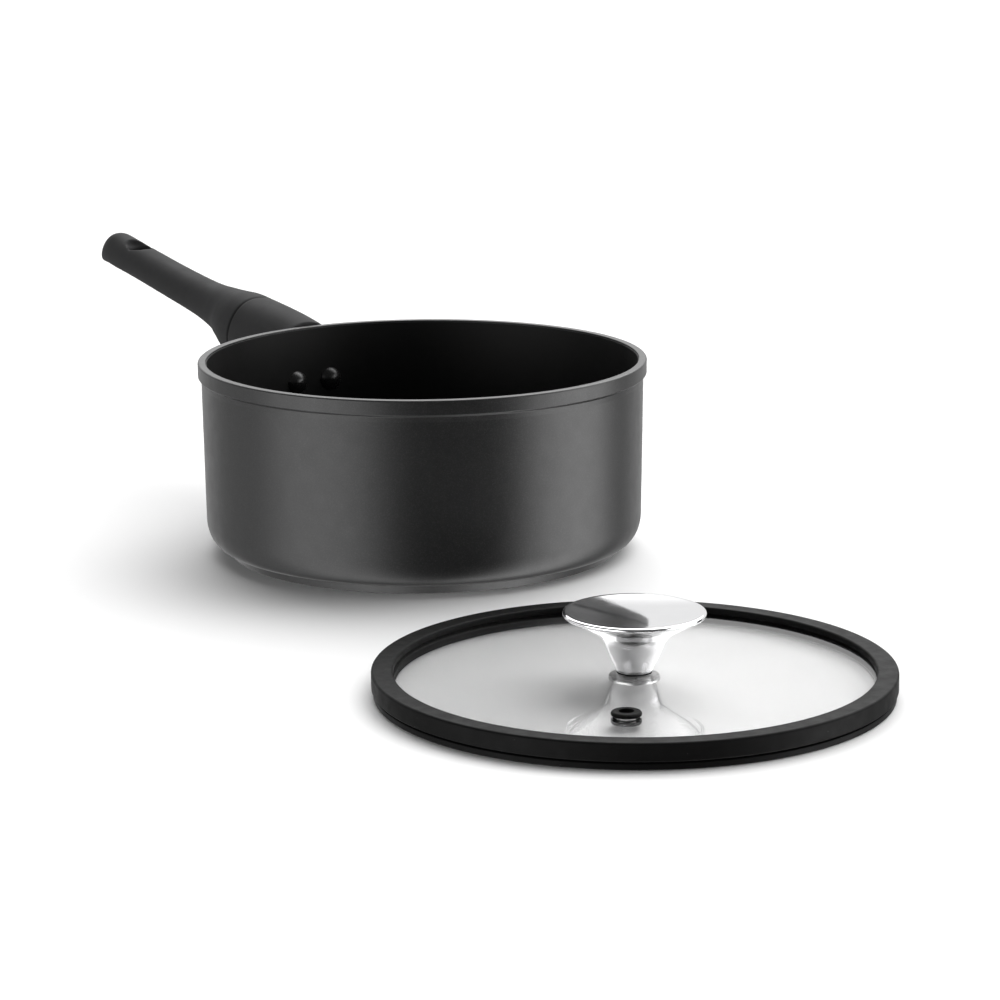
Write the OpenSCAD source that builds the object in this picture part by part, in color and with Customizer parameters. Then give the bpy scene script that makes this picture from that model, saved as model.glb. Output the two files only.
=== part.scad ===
// Saucepan with a riveted handle and a flat glass lid that lies beside it.
// Origin: centre of the pan's foot ring. +Z up, +X along the handle. Millimetres.

/* [Pan] */
// Inside diameter at the rim
pan_inner_d = 180; // [176:1:186]
// Height from the table to the rim
pan_h = 80.5; // [78:0.5:86]
// Wall thickness below the rim band
wall_t = 2.6; // [2.4:0.1:2.8]
// Width of the flat top of the rim
rim_w = 3.3; // [3:0.1:3.6]
// Height of the thicker band under the rim
band_h = 6; // [5:0.5:7]
// Height of the slope from the band to the wall
band_slope_h = 2.8; // [2:0.2:3.4]
// Thickness of the floor
floor_t = 4.4; // [4:0.1:5]
// Height of the foot ring under the rounded corner
foot_h = 3.9; // [3.5:0.1:4.3]
// Width of the rounded corner at the bottom
corner_w = 7; // [6:0.5:8]
// Height of the rounded corner at the bottom
corner_h = 11; // [10:0.5:12]
// Thickness of the nonstick lining
lining_t = 0.3; // [0.2:0.1:0.4]
// Diameter of the steel disc in the base
disc_d = 148; // [140:1:150]

/* [Handle] */
// Rise of the handle along its length, degrees
handle_rise = 7; // [6:0.5:8]
// Diameter of the hanging hole
hang_d = 11; // [9:0.5:12]
// Height of the rivets above the table
rivet_z = 56.5; // [56:0.5:57.5]
// Distance between the two rivets
rivet_gap = 17.4; // [16.6:0.2:17.8]
// Diameter of the rivet heads
rivet_head_d = 9.6; // [9:0.2:10]

/* [Lid] */
// Outside diameter of the silicone rim
lid_d = 187.6; // [186:0.2:190]
// Height of the silicone rim
seal_h = 9.6; // [9.4:0.2:10]
// Thickness of the glass
glass_t = 4; // [3.8:0.1:4]
// Outside diameter of the knob's top
knob_d = 51.2; // [48:0.2:54]
// Height of the knob
knob_h = 22; // [21:0.1:24]
// Depth of the shallow dish in the top of the knob
knob_dish = 0.6; // [0.3:0.1:1]
// Outside diameter of the vent grommet
vent_d = 10.8; // [10:0.2:12]
// Where the lid lies along the handle's line, from the pan's axis
lid_x = -229; // [-240:1:-220]
// Where the lid lies to the side of that line
lid_y = 58; // [0:1:70]

/* [Hidden] */
$fn = 128;
eps = 0.01;

// Pan radii and heights
rim_in_r = pan_inner_d / 2;
rim_out_r = rim_in_r + rim_w;
wall_top_z = pan_h - band_h - band_slope_h;
wall_top_r = rim_in_r + 1.9;
wall_low_r = wall_top_r - 0.8;
wall_low_z = foot_h + corner_h;
inner_low_r = wall_low_r - wall_t;
inner_fillet = 9;
foot_top_r = wall_low_r - corner_w - 0.7;
foot_r = foot_top_r - 2.2;
disc_t = 1;
disc_inset = 0.2;
rim_round = 0.6;

// Handle bracket and rivets
flange_t = 2.5;
flange_half_w = 13.6;
flange_z = [rivet_z - 6.5, rivet_z + 12.5];
shank_r = 2.4;
tail_r = 3.9;
tail_h = 1.6;
rivet_angle = asin(rivet_gap / 2 / (wall_top_r - 0.2));
tongue_w = 14;
tongue_t = 4;
tongue_len = 58;
tongue_z = rivet_z + 4.5;
screw_x = rim_out_r + 37;
screw_r = 2.5;
tongue_under_z = tongue_z + (screw_x - wall_top_r) * tan(handle_rise);
screw_seat_z = tongue_under_z - 2.6;
lock_t = 1.2;
screw_head_r = 4.3;
screw_head_h = 2.8;
clear = 0.25;

// Handle sections: [distance out from the rim, half width, height of the
// widest line above the rim, crown height above it, belly depth below it,
// squareness of the belly]
SECTIONS = [
    [-3, 17.3, -18, 18.9, 18.5, 3.2],
    [12, 17, -15.3, 18.9, 18, 3.2],
    [27, 16.9, -12.6, 18, 15.5, 3],
    [43, 16.6, -9.4, 16.3, 13.8, 2.9],
    [52, 16, -7.6, 15.3, 12.6, 2.8],
    [60, 14.4, -5.9, 13.5, 9.9, 2.7],
    [69, 12.3, -4.4, 12, 7.4, 2.7],
    [87, 10.8, -2.2, 10.3, 5.2, 2.7],
    [117, 10.4, 2.1, 9.4, 4.6, 2.7],
    [147, 10, 6.6, 9.3, 4.6, 2.7],
    [165, 9.6, 8.8, 10, 4.5, 2.7],
    [175, 8.9, 9.8, 10.5, 4.2, 2.7],
    [181, 7.3, 9.4, 8.8, 3.8, 2.7],
    [184, 5.3, 9.3, 5.4, 3, 2.7]];
// Powers that shape the crown: below 1 fills it out, above 1 leaves an edge
// along its widest line
crown_side_power = 0.9;
crown_top_power = 1.2;
section_points = 24;
hang_x = rim_out_r + 155;
hang_dish = [8.3, 5.9, 3.4];
hang_dish_z = pan_h + 17.2;

// Lid heights above the table
glass_r = 88.6;
glass_z = seal_h - 2.2 - glass_t;
glass_top = glass_z + glass_t;
seal_r = lid_d / 2;
seal_in_r = seal_r - 7.8;
lip_r = seal_r - 0.7;
lip_h = 2.2;
groove_r = seal_r - 1.7;
wall_under_z = 3;
edge_round = 0.9;
bush_r = 4;
bush_flange_r = 9;
bush_flange_t = 0.7;
gasket_t = 0.5;
knob_washer_r = 9.3;
knob_washer_t = 0.7;
knob_foot_r = 6.3;
bead_r = 0.9;
flare_h = knob_h - 1.5;
flare_r = knob_d / 2 - 1.6;
// Outline of the knob: [share of the way out from the foot to the bead,
// share of the way up]
FLARE = [[0, 0], [0.017, 0.024], [0.073, 0.137], [0.136, 0.244], [0.192, 0.351],
    [0.232, 0.439], [0.277, 0.527], [0.333, 0.595], [0.435, 0.678],
    [0.582, 0.761], [0.763, 0.854], [0.921, 0.946], [1, 1]];
knob_thread_depth = 12;
knob_screw_r = 2.5;
knob_screw_head_r = 4.8;
knob_screw_head_h = 1.5;
vent_hole_r = 2.75;
vent_neck_r = 3.9;
vent_flange_t = 1.7;
vent_offset = 54.6;
vent_angle = 141;

// Cavity of the pan, as far as the metal goes
module pan_cavity_2d(grow = 0) {
    r = inner_low_r - grow;
    z = floor_t + grow;
    polygon([[0, z], [r - inner_fillet, z], [r, z + inner_fillet],
        [rim_in_r - grow, pan_h + 1], [0, pan_h + 1]]);
    translate([r - inner_fillet, z + inner_fillet]) circle(inner_fillet);
}

// Outer shape of the pan, grown outward by a gap where another part fits to it
module pan_outline_2d(grow = 0) {
    polygon([[0, foot_h], [wall_low_r - corner_w, foot_h],
        [wall_low_r + grow, wall_low_z], [wall_top_r + grow, wall_top_z - grow],
        [rim_out_r + grow, pan_h - band_h - grow],
        [rim_out_r + grow, pan_h - rim_round],
        [rim_out_r + grow - rim_round, pan_h], [0, pan_h]]);
    translate([wall_low_r - corner_w, wall_low_z])
        scale([1, corner_h / corner_w]) circle(corner_w);
    polygon([[0, 0], [foot_r, 0], [foot_top_r, foot_h], [foot_top_r, foot_h + 0.5],
        [0, foot_h + 0.5]]);
}

module pan_inside() {
    rotate_extrude() intersection() {
        pan_cavity_2d(lining_t);
        square([rim_out_r, pan_h]);
    }
}

// The space that the handle and the bracket keep out of, up past the rim
module pan_space(grow = 0) {
    rotate_extrude() pan_outline_2d(grow);
    translate([0, 0, pan_h - 1]) cylinder(r = rim_out_r + grow, h = 20);
}

// A rod along a rivet's axis, from r0 to r1 off the pan's axis
module along_rivet(side, r0, r1, radius, radius2) {
    rotate([0, 0, side * rivet_angle]) translate([r0, 0, rivet_z]) rotate([0, 90, 0])
        cylinder(r1 = radius, r2 = radius2, h = r1 - r0);
}

module rivet_bore(side) {
    along_rivet(side, rim_in_r - 8, rim_out_r + 6, shank_r, shank_r);
}

module pan_body() {
    color([0.2, 0.2, 0.21]) difference() {
        rotate_extrude() difference() {
            pan_outline_2d();
            pan_cavity_2d();
            translate([0, -eps]) square([disc_d / 2, disc_t + disc_inset + eps]);
        }
        for (side = [-1, 1]) rivet_bore(side);
    }
}

module nonstick_lining() {
    color([0.05, 0.05, 0.05]) difference() {
        rotate_extrude() intersection() {
            difference() {
                pan_cavity_2d();
                pan_cavity_2d(lining_t);
            }
            square([rim_out_r, pan_h - 0.8]);
        }
        for (side = [-1, 1]) rivet_bore(side);
    }
}

module base_disc() {
    color([0.7, 0.7, 0.72]) translate([0, 0, disc_inset])
        cylinder(d = disc_d, h = disc_t);
}

// Domed head inside the pan, shank through the wall, formed tail outside
module rivet(side) {
    head_r = rivet_head_d / 2;
    dome_h = 2.3;
    dome_r = (head_r * head_r + dome_h * dome_h) / 2 / dome_h;
    seat_r = wall_low_r - wall_t + 0.2;
    tail_from = wall_top_r + flange_t - 0.12;
    color([0.1, 0.1, 0.1]) {
        intersection() {
            pan_inside();
            rotate([0, 0, side * rivet_angle])
                translate([seat_r + dome_r - dome_h, 0, rivet_z]) sphere(dome_r);
        }
        along_rivet(side, seat_r - 0.6, tail_from + 0.4, shank_r, shank_r);
        along_rivet(side, tail_from + eps, tail_from + tail_h, tail_r, tail_r - 0.8);
    }
}

module tongue(gap = 0) {
    translate([wall_top_r, 0, tongue_z]) rotate([0, -handle_rise, 0])
        translate([-2, -tongue_w / 2 - gap, -gap])
            cube([tongue_len + gap, tongue_w + 2 * gap, tongue_t + 2 * gap]);
}

module handle_bracket() {
    color([0.6, 0.6, 0.62]) difference() {
        union() {
            intersection() {
                rotate_extrude() polygon([[wall_low_r, wall_low_z],
                    [wall_low_r + flange_t, wall_low_z],
                    [wall_top_r + flange_t, wall_top_z], [wall_top_r, wall_top_z]]);
                translate([0, -flange_half_w, flange_z[0]])
                    cube([rim_out_r + 9, 2 * flange_half_w, flange_z[1] - flange_z[0]]);
            }
            tongue();
        }
        rotate_extrude() pan_outline_2d();
        for (side = [-1, 1]) rivet_bore(side);
        translate([screw_x, 0, rivet_z]) cylinder(r = screw_r, h = 30);
    }
}

// One ring of points: an oval with its own crown, belly and squareness
function section_ring(s) = [for (i = [0:section_points - 1])
    let (a = 360 * i / section_points,
        up = sin(a) >= 0,
        belly_power = 2 / s[5],
        y = s[1] * sign(cos(a)) * pow(abs(cos(a)), up ? crown_side_power : belly_power),
        z = up ? s[3] * pow(abs(sin(a)), crown_top_power)
            : -s[4] * pow(abs(sin(a)), belly_power))
    [rim_out_r + s[0], y, pan_h + s[2] + z]];

module loft(sections) {
    n = section_points;
    last = len(sections) - 1;
    points = [for (s = sections) each section_ring(s)];
    sides = [for (k = [0:last - 1], i = [0:n - 1], half = [0, 1])
        let (a = k * n + i, b = k * n + (i + 1) % n)
        half == 0 ? [a, a + n, b + n] : [a, b + n, b]];
    near_cap = [for (i = [0:n - 1]) i];
    far_cap = [for (i = [n - 1:-1:0]) last * n + i];
    polyhedron(points, concat(sides, [near_cap, far_cap]));
}

module handle_grip() {
    rivet_room_r = wall_top_r + flange_t + tail_h + 1;
    color([0.22, 0.22, 0.23]) difference() {
        loft(SECTIONS);
        pan_space(clear);
        // room for the flange and the rivet tails
        intersection() {
            cylinder(r = rivet_room_r, h = pan_h);
            translate([0, -flange_half_w - clear, flange_z[0] - clear])
                cube([rim_out_r + 20, 2 * (flange_half_w + clear),
                    flange_z[1] - flange_z[0] + 2 * clear]);
        }
        tongue(clear);
        translate([screw_x, 0, screw_seat_z - 30]) cylinder(r = screw_head_r + 0.7, h = 30);
        translate([screw_x, 0, screw_seat_z - 1]) cylinder(r = screw_r + clear, h = 12);
        translate([hang_x, 0, pan_h - 20]) cylinder(d = hang_d, h = 60);
        translate([hang_x, 0, hang_dish_z]) scale(hang_dish) sphere(1);
    }
}

// A screw with its head down: seat_z is the height the head bears on
module machine_screw(seat_z, radius, head_r, head_h, tip_z, slot_w) {
    difference() {
        union() {
            translate([0, 0, seat_z - head_h]) cylinder(r = head_r, h = head_h);
            translate([0, 0, seat_z - eps]) cylinder(r = radius, h = tip_z - seat_z + eps);
        }
        for (turn = [0, 90]) rotate([0, 0, turn])
            translate([-head_r * 0.6, -slot_w / 2, seat_z - head_h - 1])
                cube([head_r * 1.2, slot_w, 1 + head_h * 0.5]);
    }
}

module handle_screw() {
    color([0.7, 0.7, 0.72]) translate([screw_x, 0, 0])
        machine_screw(screw_seat_z - lock_t, screw_r, screw_head_r, screw_head_h,
            screw_seat_z + 8, 1.1);
}

module handle_lock_washer() {
    color([0.6, 0.6, 0.62]) translate([screw_x, 0, screw_seat_z - lock_t]) difference() {
        cylinder(r = screw_head_r, h = lock_t);
        translate([0, 0, -1]) cylinder(r = screw_r, h = lock_t + 2);
    }
}

module on_lid(z = 0) {
    translate([lid_x, lid_y, z]) children();
}

module at_vent() {
    rotate([0, 0, vent_angle]) translate([vent_offset, 0, 0]) children();
}

module lid_glass() {
    color([0.8, 0.85, 0.85, 0.4]) on_lid(glass_z) difference() {
        cylinder(r = glass_r, h = glass_t);
        translate([0, 0, -1]) cylinder(r = bush_r, h = glass_t + 2);
        at_vent() translate([0, 0, -1]) cylinder(r = vent_neck_r, h = glass_t + 2);
    }
}

module lid_seal() {
    low_in_r = glass_r - 3.2;
    top_r = seal_r - edge_round;
    color([0.1, 0.1, 0.1]) on_lid() rotate_extrude() difference() {
        union() {
            polygon([[low_in_r, 0.4], [low_in_r + 0.4, 0], [lip_r - 0.5, 0], [lip_r, 0.5],
                [lip_r, lip_h], [groove_r, lip_h], [groove_r, wall_under_z], [top_r, wall_under_z],
                [seal_r, wall_under_z + edge_round], [seal_r, seal_h - edge_round],
                [top_r, seal_h], [seal_in_r + edge_round, seal_h],
                [seal_in_r, seal_h - edge_round], [seal_in_r, glass_z - 1],
                [low_in_r, glass_z - 1]]);
            for (p = [[top_r, wall_under_z + edge_round], [top_r, seal_h - edge_round],
                [seal_in_r + edge_round, seal_h - edge_round]])
                translate(p) circle(edge_round);
        }
        translate([0, glass_z]) square([glass_r, glass_t]);
        translate([0, glass_z - 2]) square([low_in_r, glass_t]);
    }
}

module vent_grommet() {
    round_r = vent_flange_t / 2;
    flange_r = vent_d / 2 - round_r;
    color([0.08, 0.08, 0.08]) on_lid() at_vent() rotate_extrude() {
        translate([vent_hole_r, glass_z - vent_flange_t])
            square([vent_neck_r - vent_hole_r, glass_t + 2 * vent_flange_t]);
        for (z = [glass_z - vent_flange_t, glass_top]) translate([0, z]) {
            translate([vent_hole_r, 0]) square([flange_r - vent_hole_r, vent_flange_t]);
            translate([flange_r, round_r]) circle(round_r);
        }
    }
}

// Cup that flares from a narrow foot to a thin bead, with a shallow dish on top
module knob() {
    bead_x = knob_d / 2 - bead_r;
    bead_z = knob_h - bead_r;
    flare = [for (p = FLARE)
        [knob_foot_r + (flare_r - knob_foot_r) * p[0], flare_h * p[1]]];
    dish = [for (i = [0:6]) let (t = 1 - i / 6)
        [bead_x * t, knob_h - knob_dish * (1 - t * t)]];
    color([0.85, 0.85, 0.87]) on_lid(glass_top + gasket_t) difference() {
        rotate_extrude() {
            polygon(concat([[0, 0]], flare, dish));
            translate([bead_x, bead_z]) circle(bead_r);
        }
        translate([0, 0, -1]) cylinder(r = knob_screw_r, h = knob_thread_depth + 1);
    }
}

module knob_gasket() {
    color([0.1, 0.1, 0.1]) on_lid(glass_top) difference() {
        cylinder(r = knob_foot_r, h = gasket_t);
        translate([0, 0, -1]) cylinder(r = knob_screw_r, h = gasket_t + 2);
    }
}

// Silicone bush: a sleeve in the glass hole with a flange under the glass
module knob_bush() {
    color([0.75, 0.75, 0.75]) on_lid() difference() {
        union() {
            translate([0, 0, glass_z - bush_flange_t])
                cylinder(r = bush_flange_r, h = bush_flange_t);
            translate([0, 0, glass_z - eps]) cylinder(r = bush_r, h = glass_t + eps);
        }
        cylinder(r = knob_screw_r, h = seal_h);
    }
}

module knob_washer() {
    color([0.7, 0.7, 0.72]) on_lid(glass_z - bush_flange_t - knob_washer_t) difference() {
        cylinder(r = knob_washer_r, h = knob_washer_t);
        translate([0, 0, -1]) cylinder(r = knob_screw_r, h = knob_washer_t + 2);
    }
}

module knob_screw() {
    color([0.7, 0.7, 0.72]) on_lid()
        machine_screw(glass_z - bush_flange_t - knob_washer_t, knob_screw_r,
            knob_screw_head_r, knob_screw_head_h, glass_top + 10, 1.2);
}

pan_body();
nonstick_lining();
base_disc();
rivet(-1);  // rivet_left
rivet(1);  // rivet_right
handle_bracket();
handle_grip();
handle_screw();
handle_lock_washer();
lid_glass();
lid_seal();
vent_grommet();
knob();
knob_gasket();
knob_bush();
knob_washer();
knob_screw();
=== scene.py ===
"""Looks of the saucepan with a glass lid: finer pieces over the CAD frame, materials, light and camera."""
import math

import bmesh
import bpy
from mathutils import Matrix, Vector


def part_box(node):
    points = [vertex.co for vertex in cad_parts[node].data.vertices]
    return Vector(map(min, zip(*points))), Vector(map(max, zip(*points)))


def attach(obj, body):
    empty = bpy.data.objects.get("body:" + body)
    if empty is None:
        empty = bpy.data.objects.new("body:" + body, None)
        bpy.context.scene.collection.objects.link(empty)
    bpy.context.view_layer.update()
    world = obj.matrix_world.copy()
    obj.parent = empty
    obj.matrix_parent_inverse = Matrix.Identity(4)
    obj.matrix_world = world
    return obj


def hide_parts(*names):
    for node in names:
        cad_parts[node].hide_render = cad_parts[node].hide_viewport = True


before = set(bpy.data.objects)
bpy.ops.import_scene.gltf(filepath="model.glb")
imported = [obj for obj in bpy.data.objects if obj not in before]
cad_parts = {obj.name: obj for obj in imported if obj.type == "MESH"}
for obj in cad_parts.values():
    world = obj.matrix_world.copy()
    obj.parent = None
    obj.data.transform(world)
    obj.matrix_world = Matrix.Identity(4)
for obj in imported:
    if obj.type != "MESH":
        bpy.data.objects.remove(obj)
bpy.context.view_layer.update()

MM = 0.001
STEPS = 288                # faces round every turned piece
SHARP = math.radians(32)   # edges that turn more than this stay sharp

# ---- Sizes, in metres: from the frame's boxes, or the same driving values as the CAD ---------

pan_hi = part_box("pan_body")[1]
RIM_R = pan_hi.y
PAN_H = pan_hi.z
RIM_W = 3.3 * MM
CAVITY_R = RIM_R - RIM_W
WALL_TOP_R = CAVITY_R + 1.9 * MM
WALL_LOW_R = WALL_TOP_R - 0.8 * MM
INNER_LOW_R = WALL_LOW_R - 2.6 * MM
INNER_FILLET = 9           # millimetres, as every fillet in an outline
BAND_H = 6 * MM
FOOT_H = 3.9 * MM
CORNER_W = 7 * MM
CORNER_H = 11 * MM
DISC_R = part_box("base_disc")[1].y
DISC_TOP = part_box("base_disc")[1].z
FLOOR_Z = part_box("nonstick_lining")[0].z
LINING_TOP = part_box("nonstick_lining")[1].z
LINING_T = 0.3 * MM
CREASE_X = RIM_R + 43 * MM
HANG_X = RIM_R + 155 * MM
HANG_R = 5.5 * MM
HANG_DISH_Z = PAN_H + 17.2 * MM
HANG_DISH = (8.3 * MM, 5.9 * MM, 3.4 * MM)

seal_lo, seal_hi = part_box("lid_seal")
LID = ((seal_lo.x + seal_hi.x) / 2, (seal_lo.y + seal_hi.y) / 2)
SEAL_R = (seal_hi.x - seal_lo.x) / 2
SEAL_H = seal_hi.z
glass_lo, glass_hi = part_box("lid_glass")
GLASS_R = (glass_hi.x - glass_lo.x) / 2
knob_lo, knob_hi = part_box("knob")
KNOB_R = (knob_hi.x - knob_lo.x) / 2
KNOB_H = knob_hi.z - knob_lo.z
vent_lo, vent_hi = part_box("vent_grommet")
VENT = ((vent_lo.x + vent_hi.x) / 2, (vent_lo.y + vent_hi.y) / 2)
VENT_R = (vent_hi.x - vent_lo.x) / 2
VENT_NECK_R = 3.9 * MM
VENT_HOLE_R = 2.75 * MM
BUSH_R = 4 * MM

# ---- Mesh helpers --------------------------------------------------------------------------


def rounded(corners, segments=6):
    """An outline from (r, z, fillet radius) corners, in millimetres; its two ends stay sharp."""
    pts = []
    last = len(corners) - 1
    for i, (r, z, fillet) in enumerate(corners):
        here = Vector((r, z))
        if fillet <= 0 or i in (0, last):
            pts.append(here)
            continue
        back = Vector(corners[i - 1][:2]) - here
        ahead = Vector(corners[i + 1][:2]) - here
        half = back.angle(ahead) / 2
        reach = min(fillet / math.tan(half), 0.49 * back.length, 0.49 * ahead.length)
        radius = reach * math.tan(half)
        start, end = here + back.normalized() * reach, here + ahead.normalized() * reach
        middle = here + (back.normalized() + ahead.normalized()).normalized() * (radius / math.sin(half))
        lead = min(0.15 * radius, 0.2)
        pts.append(start + back.normalized() * lead)
        for k in range(segments + 1):
            mix = start.lerp(end, k / segments) - middle
            pts.append(middle + mix.normalized() * radius)
        pts.append(end + ahead.normalized() * lead)
    return [(p.x * MM, p.y * MM) for p in pts]


def finish_mesh(bm, name):
    bmesh.ops.remove_doubles(bm, verts=bm.verts, dist=1e-7)
    bmesh.ops.recalc_face_normals(bm, faces=bm.faces)
    mesh = bpy.data.meshes.new(name)
    bm.to_mesh(mesh)
    bm.free()
    mesh.shade_smooth()
    mesh.set_sharp_from_angle(angle=SHARP)
    piece = bpy.data.objects.new(name, mesh)
    bpy.context.scene.collection.objects.link(piece)
    return piece


def lathe(name, outline, centre=(0, 0), base_z=0.0):
    """Turns a closed (radius, height) outline round a vertical axis."""
    bm = bmesh.new()
    x, y = centre
    turns = [2 * math.pi * k / STEPS for k in range(STEPS)]
    rings = []
    for r, z in outline:
        angles = turns if r > 1e-6 else [0]
        rings.append([bm.verts.new((x + r * math.cos(a), y + r * math.sin(a), base_z + z)) for a in angles])
    for a, b in zip(rings, rings[1:] + rings[:1]):
        for k in range(STEPS):
            n = (k + 1) % STEPS
            if len(a) > 1 and len(b) > 1:
                bm.faces.new((a[k], a[n], b[n], b[k]))
            elif len(a) > 1:
                bm.faces.new((a[k], a[n], b[0]))
            elif len(b) > 1:
                bm.faces.new((a[0], b[n], b[k]))
    return finish_mesh(bm, name)


def cut(piece, tool):
    """Takes the tool's shape out of the piece, and removes the tool."""
    modifier = piece.modifiers.new("cut", "BOOLEAN")
    modifier.operation = "DIFFERENCE"
    modifier.solver = "EXACT"
    modifier.object = tool
    apply_modifiers(piece)
    bpy.data.objects.remove(tool)
    piece.data.set_sharp_from_angle(angle=SHARP)


def dish(name, centre, radii):
    """An ellipsoid, for a shallow dish."""
    bm = bmesh.new()
    bmesh.ops.create_uvsphere(bm, u_segments=64, v_segments=32, radius=1)
    bmesh.ops.transform(bm, verts=bm.verts, matrix=Matrix.LocRotScale(Vector(centre), None, Vector(radii)))
    return finish_mesh(bm, name)


def apply_modifiers(piece):
    """Turns the piece's modifiers into its mesh."""
    graph = bpy.context.evaluated_depsgraph_get()
    mesh = bpy.data.meshes.new_from_object(piece.evaluated_get(graph))
    piece.modifiers.clear()
    piece.data = mesh


# ---- Node helpers --------------------------------------------------------------------------


class Surface:
    """A Principled material with small calls for the textures that drive it, in metres."""

    def __init__(self, name, **fixed):
        self.material = bpy.data.materials.new(name)
        self.material.use_nodes = True
        self.tree = self.material.node_tree
        self.shader = self.tree.nodes["Principled BSDF"]
        self.place = self.tree.nodes.new("ShaderNodeTexCoord").outputs["Object"]
        for socket, value in fixed.items():
            self.shader.inputs[socket.replace("_", " ")].default_value = value

    def node(self, kind, **props):
        made = self.tree.nodes.new(kind)
        for key, value in props.items():
            setattr(made, key, value)
        return made

    def link(self, source, target):
        self.tree.links.new(source, target)

    def noise(self, size, detail=2.0):
        made = self.node("ShaderNodeTexNoise")
        made.inputs["Scale"].default_value = 1 / size
        made.inputs["Detail"].default_value = detail
        self.link(self.place, made.inputs["Vector"])
        return made.outputs["Fac"]

    def cells(self, size, output="Color"):
        made = self.node("ShaderNodeTexVoronoi")
        made.inputs["Scale"].default_value = 1 / size
        self.link(self.place, made.inputs["Vector"])
        return made.outputs[output]

    def remap(self, value, low, high, to_low=0.0, to_high=1.0):
        made = self.node("ShaderNodeMapRange")
        for key, number in (("From Min", low), ("From Max", high), ("To Min", to_low), ("To Max", to_high)):
            made.inputs[key].default_value = number
        self.link(value, made.inputs["Value"])
        return made.outputs["Result"]

    def math(self, operation, a, b):
        made = self.node("ShaderNodeMath", operation=operation)
        self.link(a, made.inputs[0])
        if isinstance(b, float):
            made.inputs[1].default_value = b
        else:
            self.link(b, made.inputs[1])
        return made.outputs[0]

    def colours(self, factor, first, second):
        made = self.node("ShaderNodeMix", data_type="RGBA")
        self.link(factor, made.inputs["Factor"])
        for key, colour in (("A", first), ("B", second)):
            socket = [s for s in made.inputs if s.name == key and s.type == "RGBA"][0]
            if isinstance(colour, tuple):
                socket.default_value = (*colour, 1)
            else:
                self.link(colour, socket)
        return [s for s in made.outputs if s.type == "RGBA"][0]

    def bump(self, height, depth, strength=1.0):
        made = self.node("ShaderNodeBump")
        made.inputs["Distance"].default_value = depth
        made.inputs["Strength"].default_value = strength
        self.link(height, made.inputs["Height"])
        self.link(made.outputs["Normal"], self.shader.inputs["Normal"])

    def drive(self, socket, value):
        self.link(value, self.shader.inputs[socket])


def grey(level, tint=0.0):
    return (level, level, level * (1 + tint))


# ---- Materials -----------------------------------------------------------------------------


def coated_metal():
    """Dark grey coating with a fine sparkle."""
    s = Surface("pan_metal", Specular_IOR_Level=0.34)
    flakes = s.remap(s.cells(0.3 * MM), 0.5, 1.0)
    patches = s.noise(0.9 * MM, 3)
    sparkle = s.math("MULTIPLY", flakes, patches)
    s.drive("Base Color", s.colours(sparkle, grey(0.009, 0.02), grey(0.036, 0.02)))
    s.drive("Roughness", s.remap(s.noise(6 * MM, 4), 0.3, 0.7, 0.36, 0.41))
    s.bump(s.noise(0.35 * MM, 2), 0.02 * MM, 0.5)
    return s.material


def nonstick_coating():
    s = Surface("nonstick", Specular_IOR_Level=0.16)
    s.drive("Base Color", s.colours(s.noise(0.5 * MM, 3), grey(0.004), grey(0.008)))
    s.drive("Roughness", s.remap(s.noise(14 * MM, 4), 0.3, 0.7, 0.40, 0.5))
    s.bump(s.noise(0.8 * MM, 3), 0.02 * MM, 0.4)
    return s.material


def soft_touch():
    """Dark grey moulding, with painted shade darkening it down in the crease between its base and the grip.
    """
    s = Surface("grip_soft_touch", Specular_IOR_Level=0.03)
    along = s.node("ShaderNodeSeparateXYZ")
    s.link(s.place, along.inputs[0])
    away = s.math("ABSOLUTE", s.math("SUBTRACT", along.outputs["X"], CREASE_X), 0.0)
    tone = s.colours(s.noise(3 * MM, 5), grey(0.027, 0.02), grey(0.032, 0.02))
    # Painted shade: near black within 0.3 mm of the crease, fading to the moulding's tone by 1.3 mm.
    s.drive("Base Color", s.colours(s.remap(away, 0.3 * MM, 1.3 * MM), grey(0.008), tone))
    s.drive("Roughness", s.remap(s.noise(9 * MM, 3), 0.3, 0.7, 0.5, 0.58))
    s.bump(s.noise(0.22 * MM, 2), 0.02 * MM, 0.6)
    return s.material


def black_silicone():
    """Matt black, with a few specks of dust."""
    s = Surface("silicone_black", Specular_IOR_Level=0.05)
    dust = s.math("MULTIPLY", s.remap(s.cells(1.9 * MM, "Distance"), 0.10, 0.05),
                  s.remap(s.cells(1.9 * MM), 0.72, 0.78))
    base = s.colours(s.noise(4 * MM, 4), grey(0.004), grey(0.006))
    s.drive("Base Color", s.colours(dust, base, grey(0.10)))
    s.drive("Roughness", s.remap(s.noise(5 * MM, 3), 0.3, 0.7, 0.45, 0.56))
    s.bump(s.noise(0.4 * MM, 3), 0.03 * MM, 0.5)
    return s.material


def clear_silicone():
    s = Surface("silicone_clear", Transmission_Weight=0.6, IOR=1.42)
    s.drive("Base Color", s.colours(s.noise(2 * MM), grey(0.6), grey(0.72)))
    s.drive("Roughness", s.remap(s.noise(1 * MM), 0.3, 0.7, 0.25, 0.4))
    return s.material


def clear_glass():
    """Clear glass that lets light through to what lies under it; its grey tint is painted shade on what shows
    through it.
    """
    s = Surface("tempered_glass", Transmission_Weight=1.0, IOR=1.5)
    # Painted shade: a grey tint of 0.76 to 0.8 darkens the floor seen through the glass.
    s.drive("Base Color", s.colours(s.noise(40 * MM, 2), grey(0.76), grey(0.8)))
    s.drive("Roughness", s.remap(s.noise(30 * MM, 6), 0.45, 0.75, 0.0, 0.03))
    mix = s.node("ShaderNodeMixShader")
    s.link(s.node("ShaderNodeLightPath").outputs["Is Shadow Ray"], mix.inputs[0])
    s.link(s.shader.outputs[0], mix.inputs[1])
    s.link(s.node("ShaderNodeBsdfTransparent").outputs[0], mix.inputs[2])
    s.link(mix.outputs[0], s.tree.nodes["Material Output"].inputs["Surface"])
    return s.material


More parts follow.
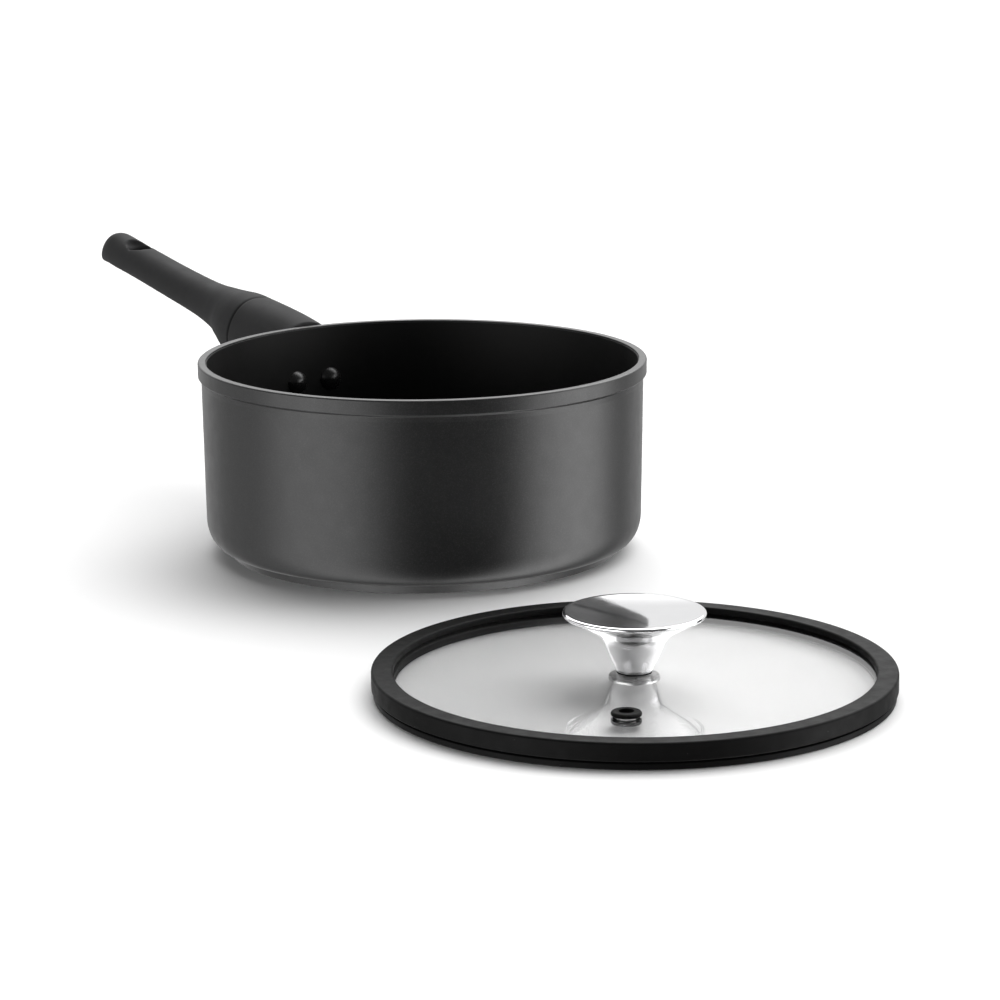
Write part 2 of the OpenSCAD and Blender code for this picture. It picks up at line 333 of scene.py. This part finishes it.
def mirror_chrome():
    s = Surface("knob_chrome", Metallic=1.0)
    s.drive("Base Color", s.colours(s.noise(8 * MM, 2), grey(0.84, 0.01), grey(0.88, 0.01)))
    s.drive("Roughness", s.remap(s.noise(5 * MM, 4), 0.3, 0.7, 0.03, 0.06))
    return s.material


def plain_steel(name, level, size=0.6 * MM):
    s = Surface(name, Metallic=1.0)
    s.drive("Base Color", s.colours(s.noise(size * 4, 4), grey(level * 0.85), grey(level)))
    s.drive("Roughness", s.remap(s.noise(size, 3), 0.3, 0.7, 0.24, 0.4))
    s.bump(s.noise(size * 0.5, 2), 0.01 * MM, 0.4)
    return s.material


def turned_steel():
    """Steel with fine rings from turning."""
    s = Surface("base_steel", Metallic=1.0)
    flat = s.node("ShaderNodeVectorMath", operation="MULTIPLY")
    flat.inputs[1].default_value = (1, 1, 0)
    s.link(s.place, flat.inputs[0])
    radius = s.node("ShaderNodeVectorMath", operation="LENGTH")
    s.link(flat.outputs["Vector"], radius.inputs[0])
    lines = s.node("ShaderNodeTexNoise", noise_dimensions="1D")
    lines.inputs["Scale"].default_value = 1 / (0.5 * MM)
    lines.inputs["Detail"].default_value = 4
    s.link(radius.outputs["Value"], lines.inputs["W"])
    rings = lines.outputs["Fac"]
    s.drive("Base Color", s.colours(rings, grey(0.42), grey(0.62)))
    s.drive("Roughness", s.remap(rings, 0.3, 0.7, 0.26, 0.42))
    s.bump(rings, 0.04 * MM, 0.6)
    return s.material


def black_rivet():
    s = Surface("rivet_black", Specular_IOR_Level=0.5)
    s.drive("Base Color", s.colours(s.noise(0.5 * MM, 3), grey(0.004), grey(0.010)))
    s.drive("Roughness", s.remap(s.noise(3 * MM, 3), 0.3, 0.7, 0.24, 0.3))
    return s.material


METAL = coated_metal()
NONSTICK = nonstick_coating()
SOFT = soft_touch()
SILICONE = black_silicone()
GLASS = clear_glass()
CHROME = mirror_chrome()
STEEL = plain_steel("fastener_steel", 0.6)
RIVET = black_rivet()

# ---- Pieces --------------------------------------------------------------------------------


def dress(piece, material, body, slot, *nodes):
    """Gives a new piece its material and its body, and hides the CAD nodes that it stands for; the slot is
    not used.
    """
    piece.data.materials.clear()
    piece.data.materials.append(material)
    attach(piece, body)
    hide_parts(*nodes)
    return piece


def pan_outline():
    """Outside, rim and inside of the pan, as corners in millimetres."""
    rim, cavity = RIM_R / MM, CAVITY_R / MM
    top, low = WALL_TOP_R / MM, WALL_LOW_R / MM
    high, foot, wide, tall = PAN_H / MM, FOOT_H / MM, CORNER_W / MM, CORNER_H / MM
    band = high - BAND_H / MM
    floor = FLOOR_Z / MM
    centre = (low - wide, foot + tall)
    corner = [(centre[0] + wide * math.sin(a), centre[1] - tall * math.cos(a), 0)
              for a in (math.pi / 2 * k / 24 for k in range(25))]
    under = low - wide - 0.7
    return [
        (0, DISC_TOP / MM, 0), (DISC_R / MM, DISC_TOP / MM, 0), (DISC_R / MM, 0, 0.3), (under - 2.2, 0, 0.5),
        (under, foot - 0.3, 0.3), *corner, (top, band - 3.0, 1.2), (top + 0.3, band - 0.8, 0.5),
        (rim - 0.3, band - 0.15, 0.15), (rim, band + 0.2, 0.2), (rim, high, 0.7), (cavity, high, 0.4),
        (INNER_LOW_R / MM, floor, INNER_FILLET), (0, floor, 0)]


def make_pan_body():
    return dress(lathe("pan_body_turned", rounded(pan_outline(), 8)), METAL, "pan", "pan_metal", "pan_body")


def make_lining():
    wide, low = CAVITY_R / MM - 0.03, INNER_LOW_R / MM
    floor, top, t = FLOOR_Z / MM, LINING_TOP / MM, LINING_T / MM
    corners = [(0, floor, 0), (low, floor, INNER_FILLET), (wide, top, 0), (wide - t, top, 0.1),
               (low - t, floor + t, INNER_FILLET - t), (0, floor + t, 0)]
    return dress(lathe("lining_turned", rounded(corners, 12)), NONSTICK, "pan", "nonstick", "nonstick_lining")


def make_seal():
    r, high, glass = SEAL_R / MM, SEAL_H / MM, GLASS_R / MM
    under, over = glass_lo.z / MM, glass_hi.z / MM
    inner, low_inner = r - 7.8, glass - 3.2
    lip, lip_h, wall_z = r - 0.7, 2.2, 3.0
    groove = lip - 1
    corners = [
        (glass, (under + over) / 2, 0), (glass, under, 0), (low_inner, under, 0.5), (low_inner, 0, 0.5),
        (lip, 0, 0.5), (lip, lip_h, 0.4), (groove, lip_h + 0.3, 0.2), (groove, wall_z - 0.2, 0.2),
        (r, wall_z, 0.7), (r, high, 0.9), (inner, high, 0.9), (inner, over, 0), (glass, over, 0)]
    return dress(lathe("seal_turned", rounded(corners), LID), SILICONE, "lid", "silicone_black", "lid_seal")


def make_glass():
    r, low, high = GLASS_R / MM, glass_lo.z / MM, glass_hi.z / MM
    bush = BUSH_R / MM
    corners = [(bush, (low + high) / 2, 0), (bush, low, 0.2), (r, low, 0.5), (r, high, 0.5),
               (bush, high, 0.2)]
    piece = lathe("glass_turned", rounded(corners), LID)
    below, above = glass_lo.z - 10 * MM, glass_hi.z + 10 * MM
    hole = [(0, below), (VENT_NECK_R, below), (VENT_NECK_R, above), (0, above)]
    cut(piece, lathe("vent_cutter", hole, VENT))
    return dress(piece, GLASS, "lid", "tempered_glass", "lid_glass")


def make_grommet():
    r, low, high = VENT_R / MM, vent_lo.z / MM, vent_hi.z / MM
    hole, neck = VENT_HOLE_R / MM, VENT_NECK_R / MM
    under, over = glass_lo.z / MM, glass_hi.z / MM
    corners = [(hole, (low + high) / 2, 0), (hole, low, 0.5), (r, low, 0.8), (r, under, 0.8),
               (neck, under, 0), (neck, over, 0), (r, over, 0.75), (r, high, 0.9), (hole, high, 0.6)]
    return dress(lathe("grommet_turned", rounded(corners), VENT), SILICONE, "lid", "silicone_black",
                 "vent_grommet")


# Outline of the knob: share of the way out from the foot to the bead, share of the way up
FLARE = [
    (0, 0), (0.017, 0.024), (0.073, 0.137), (0.136, 0.244), (0.192, 0.351), (0.232, 0.439),
    (0.277, 0.527), (0.333, 0.595), (0.435, 0.678), (0.582, 0.761), (0.763, 0.854), (0.921, 0.946),
    (1, 1)]


def catmull_rom(rows, per_span):
    """A smooth line through rows of numbers."""
    out = []
    last = len(rows) - 1
    for i in range(last):
        p = [rows[max(0, min(last, i + k))] for k in (-1, 0, 1, 2)]
        for j in range(per_span):
            t = j / per_span
            out.append([0.5 * (2 * b + (c - a) * t + (2 * a - 5 * b + 4 * c - d) * t * t
                               + (3 * b - a - 3 * c + d) * t ** 3) for a, b, c, d in zip(*p)])
    return out + [list(rows[-1])]


def make_knob():
    """A cup that flares from its foot to a thin bead, with a shallow dish on top."""
    foot, bead, dish_h = 6.3, 0.9, 0.6
    r, high = KNOB_R / MM, KNOB_H / MM
    flare_r, flare_h = r - 1.6, high - 1.5
    bead_x, bead_z = r - bead, high - bead
    thread_r, thread_h = 2.5, 12
    outline = [(0, thread_h), (thread_r, thread_h), (thread_r, 0)]
    outline += [(foot + (flare_r - foot) * x, flare_h * z) for x, z in catmull_rom(FLARE, 6)]
    start = math.atan2(flare_h - bead_z, flare_r - bead_x)
    for i in range(2, 20):
        a = start + (math.pi / 2 - start) * i / 20
        outline.append((bead_x + bead * math.cos(a), bead_z + bead * math.sin(a)))
    for i in range(24):
        t = 1 - i / 24
        outline.append((bead_x * t, high - dish_h * (1 - t * t)))
    outline.append((0, high - dish_h))
    piece = lathe("knob_turned", [(x * MM, z * MM) for x, z in outline], LID, knob_lo.z)
    return dress(piece, CHROME, "lid", "knob_chrome", "knob")


# ---- Handle --------------------------------------------------------------------------------

# Sections of the grip in millimetres: distance out from the rim, half width, height of the widest
# line above the rim, crown height, belly depth, squareness of the belly. The base ends in a crease.
BASE = [
    (-3, 17.3, -18, 18.9, 18.5, 3.2), (12, 17, -15.3, 18.9, 18, 3.2), (27, 16.9, -12.6, 18, 15.5, 3),
    (43, 16.6, -9.4, 16.3, 13.8, 2.9)]
GRIP = [
    (43, 16.6, -9.4, 16.3, 13.8, 2.9), (52, 16, -7.6, 15.3, 12.6, 2.8), (60, 14.4, -5.9, 13.5, 9.9, 2.7),
    (69, 12.3, -4.4, 12, 7.4, 2.7), (87, 10.8, -2.2, 10.3, 5.2, 2.7), (117, 10.4, 2.1, 9.4, 4.6, 2.7),
    (147, 10, 6.6, 9.3, 4.6, 2.7), (165, 9.6, 8.8, 10, 4.5, 2.7), (175, 8.9, 9.8, 10.5, 4.2, 2.7),
    (181, 7.3, 9.4, 8.8, 3.8, 2.7), (184, 5.3, 9.3, 5.4, 3, 2.7)]
CROWN_SIDE, CROWN_TOP = 0.9, 1.2


def grip_ring(bm, section, points=64):
    """One closed ring of the grip, with a crown above its widest line and a belly below it."""
    out, half, line, crown, belly, square = section
    ring = []
    for k in range(points):
        a = 2 * math.pi * k / points
        c, s = math.cos(a), math.sin(a)
        y = half * math.copysign(abs(c) ** (CROWN_SIDE if s >= 0 else 2 / square), c)
        z = crown * s ** CROWN_TOP if s >= 0 else -belly * (-s) ** (2 / square)
        ring.append(bm.verts.new((RIM_R + out * MM, y * MM, PAN_H + (line + z) * MM)))
    return ring


def crease(piece, depth=0.35 * MM, width=0.8 * MM):
    """Presses a soft line round the grip, where its base ends."""
    near = [v for v in piece.data.vertices if abs(v.co.x - CREASE_X) < 3 * width]
    moves = [v.normal * depth * math.exp(-((v.co.x - CREASE_X) / width) ** 2) for v in near]
    for vertex, move in zip(near, moves):
        vertex.co -= move


def mould_grip():
    """The grip's outer shape, lofted through its sections."""
    bm = bmesh.new()
    rings = [grip_ring(bm, s) for s in catmull_rom(BASE, 8)[:-1] + catmull_rom(GRIP, 8)]
    for a, b in zip(rings, rings[1:]):
        for k in range(len(a)):
            n = (k + 1) % len(a)
            bm.faces.new((a[k], a[n], b[n], b[k]))
    bm.faces.new(rings[0])
    bm.faces.new(rings[-1])
    return finish_mesh(bm, "grip_moulded")


def pan_cutter(gap=0.3):
    """The pan's outside and a little more, to fit the grip's end against it."""
    rim, top, low = RIM_R / MM + gap, WALL_TOP_R / MM + gap, WALL_LOW_R / MM + gap
    band = (PAN_H - BAND_H) / MM - gap
    below, above = 20, PAN_H / MM + 20
    wall = [(0, below, 0), (low, below, 0), (top, band - 2.8, 0), (rim, band, 0), (rim, above, 0),
            (0, above, 0)]
    return lathe("pan_cutter", rounded(wall))


def hang_cutter(below=60, above=120):
    hole = [(0, below, 0), (HANG_R / MM, below, 0), (HANG_R / MM, above, 0), (0, above, 0)]
    return lathe("hang_cutter", rounded(hole), (HANG_X, 0))


def screw_cutter(radius=5, below=30):
    """The recess for the head of the handle screw, up to the top of its washer."""
    low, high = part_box("handle_screw")
    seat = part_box("handle_lock_washer")[1].z / MM
    well = [(0, below, 0), (radius, below, 0), (radius, seat, 0.3), (0, seat, 0)]
    return lathe("screw_cutter", rounded(well), ((low.x + high.x) / 2, (low.y + high.y) / 2))


def soften(piece):
    """Evens out the mesh and softens the edges that the cuts left."""
    remesh = piece.modifiers.new("even", "REMESH")
    remesh.mode = "VOXEL"
    remesh.voxel_size = 0.55 * MM
    smooth = piece.modifiers.new("soft", "CORRECTIVE_SMOOTH")
    smooth.factor = 0.5
    smooth.iterations = 6
    smooth.use_only_smooth = True
    apply_modifiers(piece)


def make_grip():
    piece = mould_grip()
    cut(piece, pan_cutter())
    cut(piece, hang_cutter())
    cut(piece, dish("dish_cutter", (HANG_X, 0, HANG_DISH_Z), HANG_DISH))
    cut(piece, screw_cutter())
    soften(piece)
    crease(piece)
    piece.data.shade_smooth()
    return dress(piece, SOFT, "pan", "grip_soft_touch", "handle_grip")


make_pan_body()
make_lining()
make_seal()
make_glass()
make_grommet()
make_knob()
make_grip()

CAD_MATERIALS = {
    "base_disc": turned_steel(), "rivet_left": RIVET, "rivet_right": RIVET,
    "handle_bracket": plain_steel("bracket_steel", 0.45, 1.2 * MM), "handle_screw": STEEL,
    "handle_lock_washer": STEEL, "knob_gasket": SILICONE, "knob_bush": clear_silicone(),
    "knob_washer": STEEL, "knob_screw": STEEL}
for node_name, finish in CAD_MATERIALS.items():
    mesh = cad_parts[node_name].data
    mesh.materials.clear()
    mesh.materials.append(finish)
    mesh.polygons.foreach_set("material_index", [0] * len(mesh.polygons))

# ---- Floor, light and camera ---------------------------------------------------------------


def make_floor():
    """A white floor that mirror-like surfaces don't show, just under the object."""
    half_size = 12
    bm = bmesh.new()
    bmesh.ops.create_grid(bm, x_segments=1, y_segments=1, size=half_size)
    mesh = bpy.data.meshes.new("floor")
    bm.to_mesh(mesh)
    bm.free()
    floor = bpy.data.objects.new("floor", mesh)
    floor.location.z = -0.05 * MM
    bpy.context.scene.collection.objects.link(floor)
    s = Surface("floor_white", Roughness=0.9, Specular_IOR_Level=0.1)
    s.drive("Base Color", s.colours(s.noise(0.5, 2), grey(0.80), grey(0.82)))
    mesh.materials.append(s.material)
    floor.visible_glossy = False


CAMERA_PLACE = Vector((-1.158, 0.738, 0.335))
CAMERA_HEADING = math.radians(-33.84)
CAMERA_PITCH = math.radians(-12.95)
CAMERA_ROLL = math.radians(-0.37)
LENS, SENSOR = 120.7, 36.0


def make_camera():
    ahead = Vector((math.cos(CAMERA_HEADING) * math.cos(CAMERA_PITCH),
                    math.sin(CAMERA_HEADING) * math.cos(CAMERA_PITCH), math.sin(CAMERA_PITCH)))
    level = Vector((math.sin(CAMERA_HEADING), -math.cos(CAMERA_HEADING), 0))
    upright = level.cross(ahead)
    right = level * math.cos(CAMERA_ROLL) + upright * math.sin(CAMERA_ROLL)
    up = upright * math.cos(CAMERA_ROLL) - level * math.sin(CAMERA_ROLL)
    data = bpy.data.cameras.new("camera")
    data.lens, data.sensor_width = LENS, SENSOR
    data.clip_start, data.clip_end = 0.05, 50
    camera = bpy.data.objects.new("camera", data)
    camera.matrix_world = Matrix((
        (right.x, up.x, -ahead.x, CAMERA_PLACE.x), (right.y, up.y, -ahead.y, CAMERA_PLACE.y),
        (right.z, up.z, -ahead.z, CAMERA_PLACE.z), (0, 0, 0, 1)))
    bpy.context.scene.collection.objects.link(camera)
    bpy.context.scene.camera = camera


class Sky:
    """A world whose brightness depends on direction, above the horizon and below it."""

    def __init__(self):
        world = bpy.data.worlds.new("studio")
        world.use_nodes = True
        bpy.context.scene.world = world
        self.tree = world.node_tree
        self.view = self.tree.nodes.new("ShaderNodeTexCoord").outputs["Generated"]
        level = self.vector("MULTIPLY", self.view, (1, 1, 0)).outputs["Vector"]
        self.bearing = self.vector("NORMALIZE", level).outputs["Vector"]

    def vector(self, operation, source, constant=None):
        made = self.tree.nodes.new("ShaderNodeVectorMath")
        made.operation = operation
        self.tree.links.new(source, made.inputs[0])
        if constant is not None:
            made.inputs[1].default_value = constant
        return made

    def math(self, operation, first, second):
        made = self.tree.nodes.new("ShaderNodeMath")
        made.operation = operation
        self.tree.links.new(first, made.inputs[0])
        self.tree.links.new(second, made.inputs[1])
        return made.outputs[0]

    def towards(self, source, target, low, high, weak, strong):
        """From weak to strong as the source turns towards a target, over a range of cosines."""
        dot = self.vector("DOT_PRODUCT", source, Vector(target).normalized()).outputs["Value"]
        ramp = self.tree.nodes.new("ShaderNodeMapRange")
        ramp.interpolation_type = "SMOOTHSTEP"
        for key, number in (("From Min", low), ("From Max", high), ("To Min", weak), ("To Max", strong)):
            ramp.inputs[key].default_value = number
        self.tree.links.new(dot, ramp.inputs["Value"])
        return ramp.outputs["Result"]

    def strip(self, bearing, half_width, soft, strength, low=0.1, high=0.45):
        """A tall soft strip at a bearing from the camera's side, fading out overhead."""
        angle = CAMERA_HEADING + math.pi + math.radians(bearing)
        edge = [math.cos(math.radians(half_width + k * soft)) for k in (0.5, -0.5)]
        across = self.towards(self.bearing, (math.cos(angle), math.sin(angle), 0), *edge, 0, strength)
        return self.math("MULTIPLY", across, self.towards(self.view, (0, 0, 1), low, high, 1, 0))

    def show(self, parts):
        """Adds the parts up as the world's brightness."""
        total = parts[0]
        for part in parts[1:]:
            total = self.math("ADD", total, part)
        background = self.tree.nodes["Background"]
        background.inputs["Color"].default_value = (1, 1, 1, 1)
        self.tree.links.new(total, background.inputs["Strength"])


def make_world():
    """A white back, a soft light high up behind to the right, and three strips at the sides."""
    sky = Sky()
    back = Vector((math.cos(CAMERA_HEADING), math.sin(CAMERA_HEADING), 0))
    right = Vector((back.y, -back.x, 0))
    up = Vector((0, 0, 1))
    white_back = sky.towards(sky.view, back, 0.59, 0.71, 0.12, 0.9)
    dim_below = sky.towards(sky.view, -up, 0.6, 0.9, 0, 0.25)
    overhead = sky.towards(sky.view, up + right * 0.58 + back * 1.21, 0.47, 0.94, 0, 4.8)
    well_up = sky.towards(sky.view, up, 0.28, 0.55, 0, 1)
    sky.show([
        white_back, dim_below, sky.math("MULTIPLY", overhead, well_up),
        sky.strip(-52, 18, 44, 4.1),
        sky.strip(-100, 20, 36, 0.8),
        sky.strip(82, 17, 40, 5.7)])


make_floor()
make_world()
make_camera()
bpy.context.scene.view_settings.view_transform = "Standard"
